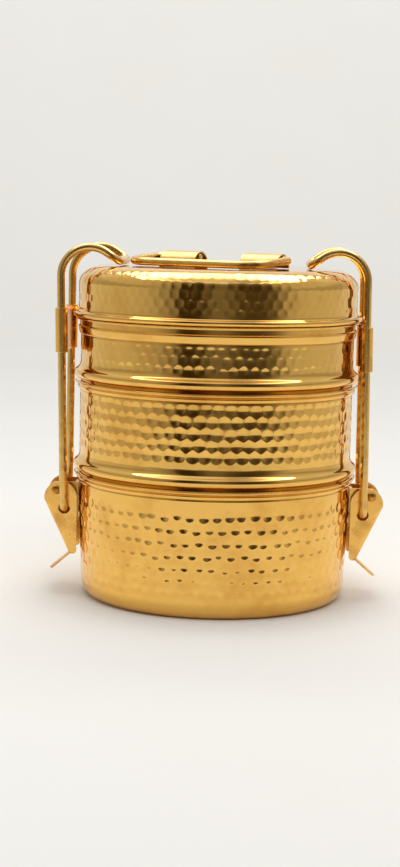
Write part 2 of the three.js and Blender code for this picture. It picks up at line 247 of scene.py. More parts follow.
# Folded sheet brass left as rolled: satin, so its reflections are soft, with brown handling marks.
ROLLED_SHEET = BrassFinish(
    "rolled_sheet_brass", "FAC266", "C98F40", (0.24, 0.38), 11.0, (0.48, 0.82), 0.8, (1, 1, 0.15), 0.008,
    2.5, 0.010,
)
# Half-round sheet rubbed by the bail: brushed round, so the light from above lies on it as an even pale band.
RUBBED_SHEET = BrassFinish(
    "rubbed_sheet_brass", "D6AE66", "BC9150", (0.34, 0.46), 9.0, (0.50, 0.82), 0.7, (0.12, 1, 1), 0.010,
    2.5, 0.008,
)
# Rivets closed cold with a punch: duller and slightly uneven.
PEENED_RIVET = BrassFinish(
    "peened_rivet_brass", "D9A04C", "946428", (0.26, 0.40), 3.0, (0.40, 0.75), 0.7, (1, 1, 1), 0.012,
    1.2, 0.030,
)


# --------------------------------------------------------------------------------------------------
# Mesh making


def verts_of(made: list) -> list[bmesh.types.BMVert]:
    """Picks the vertices out of what an operator made."""
    return [item for item in made if isinstance(item, bmesh.types.BMVert)]


def faces_of(made: list) -> list[bmesh.types.BMFace]:
    """Picks the faces out of what an operator made."""
    return [item for item in made if isinstance(item, bmesh.types.BMFace)]


def chain(bm: bmesh.types.BMesh, points: list) -> tuple[list[bmesh.types.BMVert], list[bmesh.types.BMEdge]]:
    """Joins points in a row, and gives back the vertices and the edges."""
    verts = [bm.verts.new(point) for point in points]
    return verts, [bm.edges.new(pair) for pair in zip(verts, verts[1:])]


def pulled(bm: bmesh.types.BMesh, edges: list[bmesh.types.BMEdge], by: Vector) -> list[bmesh.types.BMVert]:
    """Pulls edges out into faces.

    Args:
        bm: Mesh that holds the edges.
        edges: The edges.
        by: Direction and length of the pull.

    Returns:
        The vertices at the far end.
    """
    ends = verts_of(bmesh.ops.extrude_edge_only(bm, edges=edges)["geom"])
    bmesh.ops.translate(bm, vec=by, verts=ends)
    return ends


def turned(bm: bmesh.types.BMesh, angle: float, axis: str, verts: list | None = None) -> None:
    """Turns a mesh, or only the given vertices, about an axis through the origin."""
    bmesh.ops.rotate(bm, cent=ORIGIN, matrix=Matrix.Rotation(angle, 3, axis), verts=verts or bm.verts)


def rounded(bm: bmesh.types.BMesh, geom: list, width: float, segments: int, affect: str = "EDGES") -> None:
    """Rounds edges, or with affect set to VERTICES the corners of a flat face, by a width."""
    bmesh.ops.bevel(
        bm, geom=geom, offset=width, offset_type="OFFSET", segments=segments, profile=0.5, affect=affect,
        material=-1, clamp_overlap=True,
    )


def close(bm: bmesh.types.BMesh) -> None:
    """Welds doubles, drops what that leaves without area and points the faces outwards.

    Args:
        bm: The mesh in millimetres.
    """
    bmesh.ops.remove_doubles(bm, verts=bm.verts, dist=WELD)
    bmesh.ops.dissolve_degenerate(bm, dist=WELD / 10, edges=bm.edges)
    bmesh.ops.recalc_face_normals(bm, faces=bm.faces)


class Profile:
    """Half section of a turned piece, followed point by point as radius and level."""

    def __init__(self, radius: float, level: float) -> None:
        """Starts the section at a point."""
        self.points: list[Point] = [(radius, level)]

    def line(self, radius: float, level: float, spacing: float = 1e3) -> "Profile":
        """Goes straight to a point.

        Args:
            radius: Radius of the point.
            level: Level of the point.
            spacing: Longest step on the way.

        Returns:
            The profile itself.
        """
        from_radius, from_level = self.points[-1]
        out, up = radius - from_radius, level - from_level
        steps = max(1, math.ceil(math.hypot(out, up) / spacing))
        for i in range(1, steps + 1):
            part = i / steps
            self.points.append((from_radius + out * part, from_level + up * part))
        return self

    def arc(self, centre: Point, radii: Point, start: float, end: float, steps: int) -> "Profile":
        """Goes round part of an ellipse, whose first point is joined to the last one by a line.

        Args:
            centre: Centre as radius and level.
            radii: Half width and half height.
            start: Angle of the first point in degrees.
            end: Angle of the last point in degrees.
            steps: Number of steps between them.

        Returns:
            The profile itself.
        """
        for i in range(steps + 1):
            angle = math.radians(start + (end - start) * i / steps)
            out, up = radii[0] * math.cos(angle), radii[1] * math.sin(angle)
            self.points.append((centre[0] + out, centre[1] + up))
        return self

    def curve(self, corner: Point, end: Point, steps: int) -> "Profile":
        """Rounds a corner to an end point.

        Args:
            corner: Point where the two straight directions would meet.
            end: Where the curve ends.
            steps: Number of steps.

        Returns:
            The profile itself.
        """
        start = Vector(self.points[-1])
        middle, last = Vector(corner), Vector(end)
        for i in range(1, steps + 1):
            t = i / steps
            at = start * (1 - t) ** 2 + middle * 2 * t * (1 - t) + last * t**2
            self.points.append((at.x, at.y))
        return self


def spun(profile: Profile, steps: int) -> bmesh.types.BMesh:
    """Turns a profile round the vertical axis into a closed solid.

    Args:
        profile: Half section that starts and ends on the axis, or runs all the way round a ring.
        steps: Number of steps in the full turn.

    Returns:
        A mesh with welded seam and poles, its faces pointing outwards.
    """
    bm = bmesh.new()
    verts, edges = chain(bm, [(radius, 0, level) for radius, level in profile.points])
    doublings = 0
    while steps % 2 ** (doublings + 1) == 0:
        doublings += 1
    wedge = FULL_TURN / 2**doublings
    bmesh.ops.spin(
        bm, geom=verts + edges, cent=ORIGIN, axis=UP, dvec=ORIGIN, angle=wedge,
        steps=steps // 2**doublings, use_merge=False, use_duplicate=False,
    )
    for doubling in range(doublings):
        made = bmesh.ops.duplicate(bm, geom=bm.verts[:] + bm.edges[:] + bm.faces[:])["geom"]
        turned(bm, wedge * 2**doubling, "Z", verts_of(made))
    close(bm)
    return bm


def linked(name: str, data: bpy.types.ID) -> bpy.types.Object:
    """Makes an object of its data and puts it in the scene.

    Args:
        name: Name of the object.
        data: Its mesh, light or camera.

    Returns:
        The object.
    """
    made = bpy.data.objects.new(name, data)
    bpy.context.scene.collection.objects.link(made)
    return made


def mesh_object(bm: bmesh.types.BMesh, name: str, material: bpy.types.Material) -> bpy.types.Object:
    """Puts a mesh in the scene.

    Args:
        bm: The mesh in metres, which is used up.
        name: Name of the object.
        material: What it is made of.

    Returns:
        The object, at the origin.
    """
    mesh = bpy.data.meshes.new(name)
    bm.to_mesh(mesh)
    bm.free()
    mesh.materials.append(material)
    return linked(name, mesh)


def to_piece(
    bm: bmesh.types.BMesh, name: str, finish: BrassFinish, smooth_below: float = 40.0,
) -> bpy.types.Object:
    """Makes a mesh in millimetres into an object in metres.

    Args:
        bm: The mesh, which is used up.
        name: Name of the piece.
        finish: What it is made of.
        smooth_below: Edges that bend less than this many degrees are shaded smooth.

    Returns:
        The object, at the origin.
    """
    limit = math.radians(smooth_below)
    for face in bm.faces:
        face.smooth = True
    for edge in bm.edges:
        edge.smooth = len(edge.link_faces) == 2 and edge.calc_face_angle(0.0) < limit
    bmesh.ops.scale(bm, vec=(MM, MM, MM), verts=bm.verts)
    return mesh_object(bm, name, finish.material())


def fit(piece: bpy.types.Object, body: str, slot: str, *nodes: str) -> bpy.types.Object:
    """Puts a piece on its body, in place of the nodes it stands for.

    Args:
        piece: The finished object.
        body: Body that it moves with.
        slot: The record's material slot, which is not used.
        nodes: The frame's nodes that it replaces.

    Returns:
        The same object.
    """
    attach(piece, body)
    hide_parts(*nodes)
    faces = len(piece.data.polygons)
    LOG.info("%s rides on %s in place of %s, %d faces", piece.name, body, ", ".join(nodes), faces)
    return piece


def finish_sheet(piece: bpy.types.Object, thickness: float, edge: float) -> bpy.types.Object:
    """Gives a surface its sheet thickness and takes the sharpness off its edges.

    Args:
        piece: Object whose faces are the outer face of the sheet.
        thickness: Thickness of the sheet, laid inwards, or 0 for a piece that is solid already.
        edge: Width of the broken edge.

    Returns:
        The same object.
    """
    if thickness:
        sheet = piece.modifiers.new("sheet", "SOLIDIFY")
        sheet.thickness = thickness * MM
        sheet.offset = -1
        sheet.use_even_offset = True
    broken = piece.modifiers.new("broken_edge", "BEVEL")
    broken.width = edge * MM
    broken.segments = 2
    broken.limit_method = "ANGLE"
    broken.angle_limit = math.radians(50)
    broken.harden_normals = True
    return piece


def ring(centre: Point, radius: float, start: float, end: float, steps: int) -> list[Point]:
    """Points of an arc, both ends included, with angles in degrees."""
    angles = [math.radians(start + (end - start) * i / steps) for i in range(steps + 1)]
    return [(centre[0] + radius * math.cos(a), centre[1] + radius * math.sin(a)) for a in angles]


def filled(bm: bmesh.types.BMesh, loops: list[list[Vector]]) -> list[bmesh.types.BMFace]:
    """Fills a flat outline, leaving out the holes inside it.

    Args:
        bm: Where the faces go.
        loops: The outline and its holes, each a closed run of points.

    Returns:
        The new faces.
    """
    edges = []
    for loop in loops:
        verts = [bm.verts.new(point) for point in loop]
        edges += [bm.edges.new((a, b)) for a, b in zip(verts, verts[1:] + verts[:1])]
    made = bmesh.ops.triangle_fill(bm, use_beauty=True, use_dissolve=False, edges=edges, normal=ORIGIN)
    return faces_of(made["geom"])


def raised(bm: bmesh.types.BMesh, faces: list[bmesh.types.BMFace], by: Vector) -> bmesh.types.BMesh:
    """Pulls flat faces into a solid.

    Args:
        bm: Mesh that holds only the faces.
        faces: The faces.
        by: Direction and length of the pull.

    Returns:
        The same mesh, closed.
    """
    made = bmesh.ops.extrude_face_region(bm, geom=faces, use_keep_orig=True)["geom"]
    bmesh.ops.translate(bm, vec=by, verts=verts_of(made))
    close(bm)
    return bm


class WireBender:
    """Round wire that is fed and bent length by length, as on a bending machine."""

    sides = 24
    degrees_per_step = 6.0
    end_round = 0.35  # share of the radius that the two cut ends are rounded by

    def __init__(self, radius: float, start: Vector, along: Vector) -> None:
        """Starts the wire.

        Args:
            radius: Radius of the wire.
            start: Centre of the cut end.
            along: Direction in which the wire leaves it.
        """
        self.radius = radius
        self.at = start.copy()
        self.along = along.normalized()
        self.bm = bmesh.new()
        turn = self.along.to_track_quat("Z", "Y").to_matrix().to_4x4()
        bmesh.ops.create_circle(
            self.bm, cap_ends=True, radius=radius, segments=self.sides,
            matrix=Matrix.Translation(self.at) @ turn,
        )
        self.bm.faces.ensure_lookup_table()
        self.face = self.bm.faces[0]

    def feed(self, length: float, pieces: int = 1) -> "WireBender":
        """Feeds a straight length.

        Args:
            length: How far.
            pieces: Number of equal steps it is made in.

        Returns:
            The bender itself.
        """
        for _ in range(pieces):
            self.face = faces_of(bmesh.ops.extrude_face_region(self.bm, geom=[self.face])["geom"])[0]
            step = self.along * (length / pieces)
            bmesh.ops.translate(self.bm, vec=step, verts=self.face.verts)
            self.at = self.at + step
        return self

    def bend(self, radius: float, degrees: float, towards: Vector) -> "WireBender":
        """Bends the wire round a former.

        Args:
            radius: Radius of the bend's centre line.
            degrees: How far it turns.
            towards: Direction from the wire to the former.

        Returns:
            The bender itself.
        """
        towards = towards.normalized()
        centre = self.at + towards * radius
        axis = self.along.cross(towards)
        angle = math.radians(degrees)
        made = bmesh.ops.spin(
            self.bm, geom=[self.face], cent=centre, axis=axis, dvec=ORIGIN, angle=angle,
            steps=max(2, math.ceil(degrees / self.degrees_per_step)), use_merge=False, use_duplicate=False,
        )
        self.face = faces_of(made["geom_last"])[0]
        turn = Matrix.Rotation(angle, 3, axis)
        self.at = centre + turn @ (self.at - centre)
        self.along = (turn @ self.along).normalized()
        return self

    def cut(self) -> bmesh.types.BMesh:
        """Cuts the wire off and rounds its two ends.

        Returns:
            The wire as one closed mesh.
        """
        bmesh.ops.recalc_face_normals(self.bm, faces=self.bm.faces)
        rims = [face for face in self.bm.faces if len(face.verts) > 4]
        edges = list({edge for face in rims for edge in face.edges})
        rounded(self.bm, edges, self.radius * self.end_round, 4)
        return self.bm


# --------------------------------------------------------------------------------------------------
# Containers and lid


@dataclass
class HammerMarks:
    """Rows of round hollows beaten into a wall from outside."""

    levels: tuple[float, ...]
    depths: tuple[float, ...]
    pitch: float = 6.5
    radius: float = 2.85
    scatter: float = 0.34
    seed: int = 1
    soft_edge: float = 0.10

    def hollow(
        self, run: np.ndarray, turn: np.ndarray, girth: np.ndarray, row_runs: np.ndarray,
    ) -> np.ndarray:
        """Depth of the marks at points of the wall.

        Args:
            run: Distance of each point along the wall's outline.
            turn: Angle of each point round the axis.
            girth: Radius of the wall at each point.
            row_runs: Distance along the outline of each row.

        Returns:
            How far each point is pressed in.
        """
        dice = random.Random(self.seed)
        total = np.zeros(len(run))
        for row, (centre_run, depth) in enumerate(zip(row_runs, self.depths)):
            near = np.abs(run - centre_run) < self.radius * 1.4
            row_girth = float(girth[near].mean())
            count = round(FULL_TURN * row_girth / self.pitch)
            spacing = FULL_TURN / count
            offset = 0.5 * spacing * (row % 2)
            marks = [
                (
                    offset + spacing * i + dice.gauss(0, self.scatter) / row_girth,
                    centre_run + dice.gauss(0, self.scatter),
                    self.radius * dice.uniform(0.9, 1.08),
                    depth * dice.uniform(0.72, 1.16),
                )
                for i in range(count)
            ]
            marks_table = np.array(marks)
            index = np.round((turn[near] - offset) / spacing).astype(int)
            pressed = np.zeros(int(near.sum()))
            for neighbour in (-1, 0, 1):
                mark = marks_table[(index + neighbour) % count]
                off = (turn[near] - mark[:, 0] + math.pi) % FULL_TURN - math.pi
                across = off * girth[near]
                along = run[near] - mark[:, 1]
                bowl = 1 - (across**2 + along**2) / mark[:, 2] ** 2
                bowl = np.where(bowl > 0, bowl**2 / (np.abs(bowl) + self.soft_edge), 0)
                pressed = np.maximum(pressed, bowl * (1 + self.soft_edge) * mark[:, 3])
            total[near] = np.maximum(total[near], pressed)
        return total


@dataclass
class BeatenWall:
    """Outer outline of a vessel's wall, and how its surface strays from true."""

    outline: list[Point]
    marks: HammerMarks
    wander: float = 0.035
    waves: int = 9
    tolerance: float = 0.25
    fade: float = 2.0

    def strike(self, piece: bpy.types.Object) -> None:
        """Presses the marks into the outside of a turned piece.

        Args:
            piece: Object whose mesh was turned from a profile that holds the outline.
        """
        mesh = piece.data
        coords = np.empty(len(mesh.vertices) * 3)
        mesh.vertices.foreach_get("co", coords)
        coords = coords.reshape(-1, 3) / MM
        normals = np.empty(len(mesh.vertices) * 3)
        mesh.vertices.foreach_get("normal", normals)
        normals = normals.reshape(-1, 3)
        outline = np.array(sorted(self.outline, key=lambda point: point[1]))
        steps = np.hypot(*np.diff(outline, axis=0).T)
        runs = np.concatenate([[0], np.cumsum(steps)])
        radius = np.hypot(coords[:, 0], coords[:, 1])
        level = coords[:, 2]
        on_wall = (
            (level >= outline[0, 1])
            & (level <= outline[-1, 1])
            & (np.abs(radius - np.interp(level, outline[:, 1], outline[:, 0])) < self.tolerance)
        )
        turn = np.arctan2(coords[on_wall, 1], coords[on_wall, 0])
        run = np.interp(level[on_wall], outline[:, 1], runs)
        row_runs = np.interp(np.array(self.marks.levels), outline[:, 1], runs)
        pressed = self.marks.hollow(run, turn, radius[on_wall], row_runs)
        pressed = pressed + self.stray(run, turn)
        edge = np.clip(np.minimum(run, runs[-1] - run) / self.fade, 0, 1)
        coords[on_wall] -= normals[on_wall] * (pressed * edge)[:, None]
        mesh.vertices.foreach_set("co", (coords * MM).ravel())
        mesh.update()

    def stray(self, run: np.ndarray, turn: np.ndarray) -> np.ndarray:
        """Slow waves left by beating the whole wall.

        Args:
            run: Distance of each point along the outline.
            turn: Angle of each point round the axis.

        Returns:
            How far each point lies inside the true surface.
        """
        dice = random.Random(self.marks.seed + 100)
        total = np.zeros(len(run))
        for _ in range(self.waves):
            around = dice.randint(5, 34)
            along = dice.uniform(-0.4, 0.4)
            phase = dice.uniform(0, FULL_TURN)
            total += np.sin(around * turn + along * run + phase)
        return self.wander * (total / math.sqrt(self.waves) + 1) / 2


@dataclass
class Vessels:
    """The three containers and the lid, turned from sheet and beaten."""

    body_radius: float = BODY_RADIUS
    wall: float = 1.0
    base_taper: float = 1.7
    base_corner: Point = (6.5, 8.0)
    foot_corner: float = 3.0
    lid_corner: float = 13.0
    lid_shoulder: float = 9.0
    lid_stand_out: float = 1.3
    nest_depth: float = 6.0
    nest_clearance: float = 0.4
    seat_gap: float = 0.3
    bead_height: float = 6.6
    bead_lift: float = 1.1
    bead_proud: float = 2.9
    bead_leave: float = 52.0  # degrees up the bead where its cove begins
    bead_cove: float = 2.6
    lid_bead_height: float = 2.8
    lid_bead_proud: float = 2.6
    lip_thickness: float = 0.95
    lip_proud: float = 2.5
    neck_proud: float = 0.5
    neck: float = 1.0
    ridge: float = 2.2
    ridge_proud: float = 1.2
    ridge_slope: float = 0.14
    top_neck: float = 3.0
    top_ridge: float = 4.4
    row_spacing: float = 0.62
    segments: int = 640
    groove: float = 0.18

    @property
    def mouth(self) -> float:
        """Inner radius of a mouth."""
        return self.body_radius - self.wall

    @property
    def foot(self) -> float:
        """Outer radius of the foot that nests in a mouth."""
        return self.mouth - self.nest_clearance

    def rim(self, profile: Profile, rim: float, neck: float, ridge: float) -> None:
        """Adds a mouth's ridge, neck and turned lip, up its outside and over.

        Args:
            profile: Section that has reached the wall below the ridge.
            rim: Level of the lip's top.
            neck: Height of the neck.
            ridge: Height of the ridge.
        """
        wall = self.body_radius
        under_lip = rim - self.lip_thickness
        under_neck = under_lip - neck
        under_ridge = under_neck - ridge
        crest = wall + self.ridge_proud
        soft = min(0.8, ridge / 3)
        toe = crest - ridge * self.ridge_slope
        throat = wall + self.neck_proud
        profile.line(wall, under_ridge - 0.5, self.row_spacing)
        profile.curve((wall - self.groove, under_ridge - 0.3), (wall - self.groove, under_ridge - 0.1), 3)
        profile.curve((wall + 0.2, under_ridge), (toe - 0.2, under_ridge + soft * 0.3), 3)
        profile.curve((toe, under_ridge + soft * 0.5), (toe + soft * self.ridge_slope, under_ridge + soft), 3)
        profile.line(crest, under_neck - soft, 0.7)
        profile.curve((crest, under_neck - 0.1), (throat + 0.25, under_neck), 4)
        profile.curve((throat, under_neck + 0.1), (throat, under_neck + 0.4), 3)
        profile.line(throat, under_lip - 0.3, 1.0)
        half = self.lip_thickness / 2
        edge = wall + self.lip_proud - half
        profile.curve((throat, under_lip), (throat + 0.3, under_lip), 3)
        profile.arc((edge, rim - half), (half, half), -90, 90, 8)
        profile.line(self.mouth + 0.5, rim)
        profile.curve((self.mouth, rim), (self.mouth, rim - 0.5), 4)

    def bead(self, profile: Profile, seat: float) -> None:
        """Adds the swaged bead over a seat, with the cove that runs out into the wall.

        Args:
            profile: Section that has reached the seat.
            seat: Level of the bead's underside.
        """
        middle = seat + (self.bead_height + self.bead_lift) / 2
        half = (self.bead_height - self.bead_lift) / 2
        profile.line(self.body_radius - 0.3, seat)
        leave = math.radians(self.bead_leave)
        profile.arc((self.body_radius, middle), (self.bead_proud, half), -90, self.bead_leave, 18)
        radius, level = profile.points[-1]
        rise = half * math.cos(leave) / (self.bead_proud * math.sin(leave))
        corner = level + (radius - self.body_radius) * rise
        profile.curve((self.body_radius, corner), (self.body_radius, corner + self.bead_cove), 9)

    def inside(self, profile: Profile, seat: float) -> None:
        """Adds the inner wall and floor of a nested container, from its mouth to the axis.

        Args:
            profile: Section that has come over the lip.
            seat: Level of the rim below.
        """
        bottom = seat - self.nest_depth
        inner = self.foot - self.wall
        shelf = seat + self.seat_gap + self.wall
        profile.line(self.mouth, seat + self.seat_gap + self.wall * 2.5, 14)
        profile.curve((self.mouth, shelf), (inner, shelf), 3)
        corner = self.foot_corner
        profile.arc((inner - corner, bottom + self.wall + corner), (corner, corner), 0, -90, 4)
        profile.line(0, bottom + self.wall)

    def bottom_profile(self, rim: float) -> tuple[Profile, list[Point]]:
        """Section of the bottom container.

        Args:
            rim: Level of its lip.

        Returns:
            The profile, and the part of it that is beaten.
        """
        base = self.body_radius - self.base_taper
        taper_end = rim * 0.8
        wide, high = self.base_corner
        profile = Profile(0, 0).line(base - wide - 6, 0)
        profile.arc((base - wide, high), (wide, high), -90, 0, 20)
        start = len(profile.points) - 18
        profile.line(self.body_radius, taper_end, self.row_spacing)
        under_ridge = rim - self.lip_thickness - self.neck - self.ridge
        profile.line(self.body_radius, under_ridge - 0.9, self.row_spacing)
        beaten = profile.points[start:]
        self.rim(profile, rim, self.neck, self.ridge)
        inner = base - self.wall
        profile.line(self.mouth, taper_end, 12)
        profile.line(inner, high, 12)
        profile.arc((base - wide, high), (wide - self.wall, high - self.wall), -8, -90, 6)
        profile.line(0, self.wall)
        return profile, beaten

    def nested_profile(
        self, seat: float, rim: float, neck: float, ridge: float,
    ) -> tuple[Profile, list[Point]]:
        """Section of a container that stands in the one below.

        Args:
            seat: Level of the rim below.
            rim: Level of its lip.
            neck: Height of its neck.
            ridge: Height of its ridge.

        Returns:
            The profile, and the part of it that is beaten.
        """
        bottom = seat - self.nest_depth
        corner = self.foot_corner
        profile = Profile(0, bottom).line(self.foot - corner, bottom)
        profile.arc((self.foot - corner, bottom + corner), (corner, corner), -84, 0, 5)
        profile.line(self.foot, seat + self.seat_gap)
        self.bead(profile, seat + self.seat_gap)
        start = len(profile.points) - 4
        under_ridge = rim - self.lip_thickness - neck - ridge
        profile.line(self.body_radius, under_ridge - 0.9, self.row_spacing)
        beaten = profile.points[start:]
        self.rim(profile, rim, neck, ridge)
        self.inside(profile, seat)
        return profile, beaten

    def lid_profile(self, seat: float, top: float) -> tuple[Profile, list[Point]]:
        """Section of the lid, from its top outwards and back along its inside.

        Args:
            seat: Level of the rim below.
            top: Level of its top.

        Returns:
            The profile, and the part of it that is beaten.
        """
        radius = self.body_radius + self.lid_stand_out
        corner = self.lid_corner
        shoulder = top - self.lid_shoulder
        under = seat + self.seat_gap
        profile = Profile(0, top).line(radius - corner - 5, top, 12)
        profile.arc((radius - corner, shoulder), (corner, self.lid_shoulder), 90, 0, 32)
        start = len(profile.points) - 28
        half = self.lid_bead_height / 2
        proud = self.lid_bead_proud
        profile.line(radius, under + self.lid_bead_height + 1.5, self.row_spacing)
        beaten = profile.points[start:]
        profile.curve((radius, under + self.lid_bead_height), (radius + proud * 0.5, under + half * 1.86), 5)
        profile.arc((radius + proud * 0.46, under + half), (proud * 0.54, half), 75, -90, 14)
        profile.line(self.foot + 0.4, under)
        profile.curve((self.foot, under), (self.foot, under - 0.4), 3)
        end = seat - self.nest_depth
        inner = self.foot - self.wall
        lap = self.wall / 2
        profile.line(self.foot, end + lap, 6)
        profile.arc((self.foot - lap, end + lap), (lap, lap), 0, -180, 6)
        profile.line(inner, under + self.wall)
        inside = radius - self.wall
        profile.curve((inner, under + self.wall * 1.8), (inside, under + self.lid_bead_height), 4)
        profile.line(inside, shoulder, 8)
        hollow = (corner - self.wall, self.lid_shoulder - self.wall)
        profile.arc((radius - corner, shoulder), hollow, 8, 90, 8)
        profile.line(0, top - self.wall)
        return profile, beaten

    def build(self) -> None:
        """Turns, beats and fits the four pieces."""
        nodes = ("bottom_container", "middle_container", "top_container", "lid")
        first, second, third, top = (node_box(node).high.z for node in nodes)
        plan = (
            ("bottom_vessel", "base", "bottom_container", self.bottom_profile(first), HammerMarks(
                tuple(first - d for d in (12.1, 18.3, 24.7, 31.1, 37.2, 42.8, 48.0, 52.6)),
                (0.50, 0.50, 0.50, 0.47, 0.42, 0.35, 0.27, 0.20), pitch=6.35, seed=3,
            )),
            ("middle_vessel", "middle_tier", "middle_container",
             self.nested_profile(first, second, self.neck, self.ridge), HammerMarks(
                tuple(second - d for d in (7.9, 13.6, 19.4, 25.0, 30.4)), (0.26, 0.32, 0.38, 0.40, 0.40),
                pitch=6.0, seed=5,
            )),
            ("top_vessel", "top_tier", "top_container",
             self.nested_profile(second, third, self.top_neck, self.top_ridge), HammerMarks(
                tuple(third - d for d in (11.3, 16.3, 21.3)), (0.13, 0.15, 0.20),
                pitch=5.3, radius=2.9, seed=7,
            )),
            ("hammered_lid", "lid_assembly", "lid", self.lid_profile(third, top), HammerMarks(
                tuple(top - d for d in (2.8, 6.8, 11.2, 15.7, 19.9)), (0.16, 0.16, 0.17, 0.18, 0.16),
                pitch=5.3, radius=2.9, seed=9,
            )),
        )
        for name, body, node, (profile, beaten), marks in plan:
            piece = to_piece(spun(profile, self.segments), name, HAMMERED, 60)
            BeatenWall(beaten, marks).strike(piece)
            fit(piece, body, "hammered_brass", node)


# --------------------------------------------------------------------------------------------------
# Clips


@dataclass
class Clip:
    """One side's lever, wire and keeper, with the bracket, rivet and studs that hold them."""

    side: Side
    lean_front: float
    lean_back: float
    rod_radius: float = 2.0
    rod_spacing: float = 34.0
    rod_elbow: float = 3.0
    arch_radius: float = 14.5
    over_turn: float = 35.0
    tip_straight: float = 1.9
    tip_corner: float = 5.0
    lever_sheet: float = 1.0
    lever_width: float = 25.0
    foot_inside: float = 0.8
    wall_gap: float = 0.2
    cheek_inset: float = 2.3
    cheek_drop: float = 4.0
    lever_reach: float = 33.0
    lever_toe: float = 3.5
    tab_length: float = 14.5
    tab_width: float = 7.0
    tab_corner: float = 3.0
    tab_angle: float = 41.0
    hole_radius: float = 3.0
    hole_drop: float = 0.7
    pivot_hole: float = 1.85
    fold_radius: float = 1.5
    rivet_head: float = 2.4
    rivet_height: float = 1.1
    rivet_radius: float = 1.5
    keeper_sheet: float = 0.8
    keeper_gap: float = 0.3
    keeper_web: float = 1.9
    pivot: Vector = field(init=False)
    foot: Vector = field(init=False)
    arch_level: float = field(init=False)

    def __post_init__(self) -> None:
        """Takes the pivot, the wire's foot and the arch's level from the frame."""
        self.pivot = node_box(f"pivot_rivet_{self.side.word}").centre
        wire = node_box(f"clip_wire_{self.side.word}")
        self.arch_level = wire.high.z - self.rod_radius - self.arch_radius
        self.foot = joint_place(f"{self.side.word}_clip_swing")

    @property
    def out(self) -> Vector:
        """Direction out of the carrier on this side."""
        return Vector((self.side.value, 0, 0))

    def placed(self, bm: bmesh.types.BMesh) -> bmesh.types.BMesh:
        """Turns a mesh made for the right side to this side.

        Args:
            bm: Mesh built on positive X.

        Returns:
            The same mesh.
        """
        if self.side is Side.LEFT:
            turned(bm, math.pi, "Z")
        return bm

    def leaned(self, bm: bmesh.types.BMesh) -> bmesh.types.BMesh:
        """Leans each rod out by its own amount, more the higher it is.

        Args:
            bm: Mesh in its final place.

        Returns:
            The same mesh.
        """
        for vert in bm.verts:
            across = min(max(vert.co.y / self.rod_spacing + 0.5, 0), 1)
            up = min(max((vert.co.z - self.foot.z) / (self.arch_level - self.foot.z), 0), 1)
            vert.co += self.out * (self.lean_front * (1 - across) + self.lean_back * across) * up
        return bm

    def wire(self) -> None:
        """Bends the clip's wire from one foot to the other."""
        foot_end = self.lever_width / 2 - self.lever_sheet - self.foot_inside
        half = self.rod_spacing / 2
        start = Vector((abs(self.foot.x), -foot_end, self.foot.z))
        turn = 90 + self.over_turn
        upright = self.arch_level - self.foot.z - self.rod_elbow
        wire = WireBender(self.rod_radius, start, -ACROSS)
        wire.feed(half - self.rod_elbow - foot_end)
        wire.bend(self.rod_elbow, 90, UP)
        wire.feed(upright, 12)
        wire.bend(self.arch_radius, turn, -ALONG)
        wire.feed(self.tip_straight)
        wire.bend(self.tip_corner, 90, ACROSS)
        wire.feed(self.rod_spacing - 2 * self.tip_corner, 4)
        tip_slope = math.radians(self.over_turn)
        back_up = Vector((math.cos(tip_slope), 0, math.sin(tip_slope)))
        wire.bend(self.tip_corner, 90, back_up)
        wire.feed(self.tip_straight)
        to_centre = Vector((back_up.z, 0, -back_up.x))
        wire.bend(self.arch_radius, turn, to_centre)
        wire.feed(upright, 12)
        wire.bend(self.rod_elbow, 90, -ACROSS)
        wire.feed(half - self.rod_elbow - foot_end)
        word = self.side.word
        piece = to_piece(self.leaned(self.placed(wire.cut())), f"clip_rod_{word}", DRAWN_WIRE, 50)
        fit(piece, f"{word}_clip", "wire_brass", f"clip_wire_{word}")

    def keeper(self) -> None:
        """Wraps the keeper's sheet round both rods and pinches it between them."""
        box = node_box(f"keeper_{self.side.word}")
        half = self.rod_spacing / 2
        hole = self.rod_radius + self.keeper_gap
        outer = hole + self.keeper_sheet
        line = abs(self.foot.x)
        pinch = math.degrees(math.asin(self.keeper_web / 2 / outer))
        outline = ring((line, half), outer, -90 + pinch, 270 - pinch, 36)
        outline += ring((line, -half), outer, 90 + pinch, 450 - pinch, 36)
        loops = [outline] + [ring((line, y), hole, 0, 350, 35) for y in (half, -half)]
        bm = bmesh.new()
        faces = filled(bm, [[Vector((x, y, box.low.z)) for x, y in loop] for loop in loops])
        raised(bm, faces, UP * (box.high.z - box.low.z))
        word = self.side.word
        piece = to_piece(self.leaned(self.placed(bm)), f"crimped_keeper_{word}", ROLLED_SHEET, 35)
        fit(finish_sheet(piece, 0, 0.18), f"{word}_clip", "sheet_brass", f"keeper_{word}")

